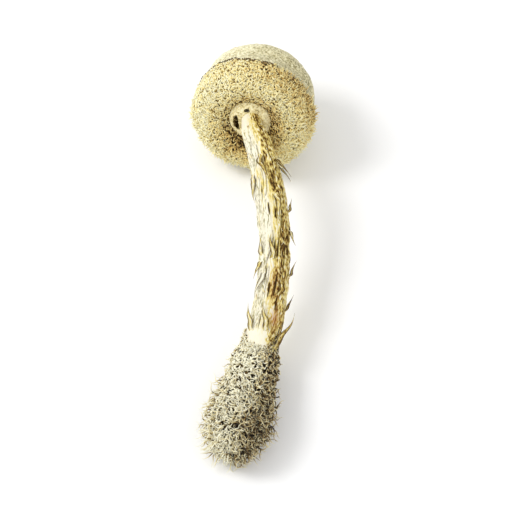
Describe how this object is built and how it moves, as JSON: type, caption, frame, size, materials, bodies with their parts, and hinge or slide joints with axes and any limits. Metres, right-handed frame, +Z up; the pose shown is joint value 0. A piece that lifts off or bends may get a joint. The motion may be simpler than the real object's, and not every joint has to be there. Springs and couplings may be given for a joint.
{
  "type": "toadstool",
  "caption": "Picked toadstool lying on its side: domed pale cap over a thick woolly roll, torn collar, bent shaggy stem with loose scales, and a woolly swollen foot.",
  "frame": {"origin": "on the surface that the toadstool lies on, under the middle of its outline seen from above", "axes": "+Y along the toadstool's length, from the foot to the head; +Z up; +X to the right when looking from the foot to the head"},
  "size_m": [0.0536, 0.1972, 0.0534],
  "materials": {
    "cap_skin": "satin",
    "ochre_wool": "matte",
    "collar_skin": "matte",
    "stem_fibre": "matte",
    "stem_scale": "matte",
    "grey_wool": "matte"
  },
  "bodies": {
    "root": {"cap": "cap_skin", "wool_roll": "ochre_wool", "collar": "collar_skin", "stem": "stem_fibre", "woolly_foot": "grey_wool", "stem_scale_01": "stem_scale", "stem_scale_02": "stem_scale", "stem_scale_03": "stem_scale", "stem_scale_04": "stem_scale", "stem_scale_05": "stem_scale", "stem_scale_06": "stem_scale", "stem_scale_07": "stem_scale", "stem_scale_08": "stem_scale", "stem_scale_09": "stem_scale", "stem_scale_10": "stem_scale", "stem_scale_11": "stem_scale", "stem_scale_12": "stem_scale", "stem_scale_13": "stem_scale", "stem_scale_14": "stem_scale", "stem_scale_15": "stem_scale", "stem_scale_16": "stem_scale", "stem_scale_17": "stem_scale", "stem_scale_18": "stem_scale", "stem_scale_19": "stem_scale", "stem_scale_20": "stem_scale", "stem_scale_21": "stem_scale"}
  },
  "joints": []
}
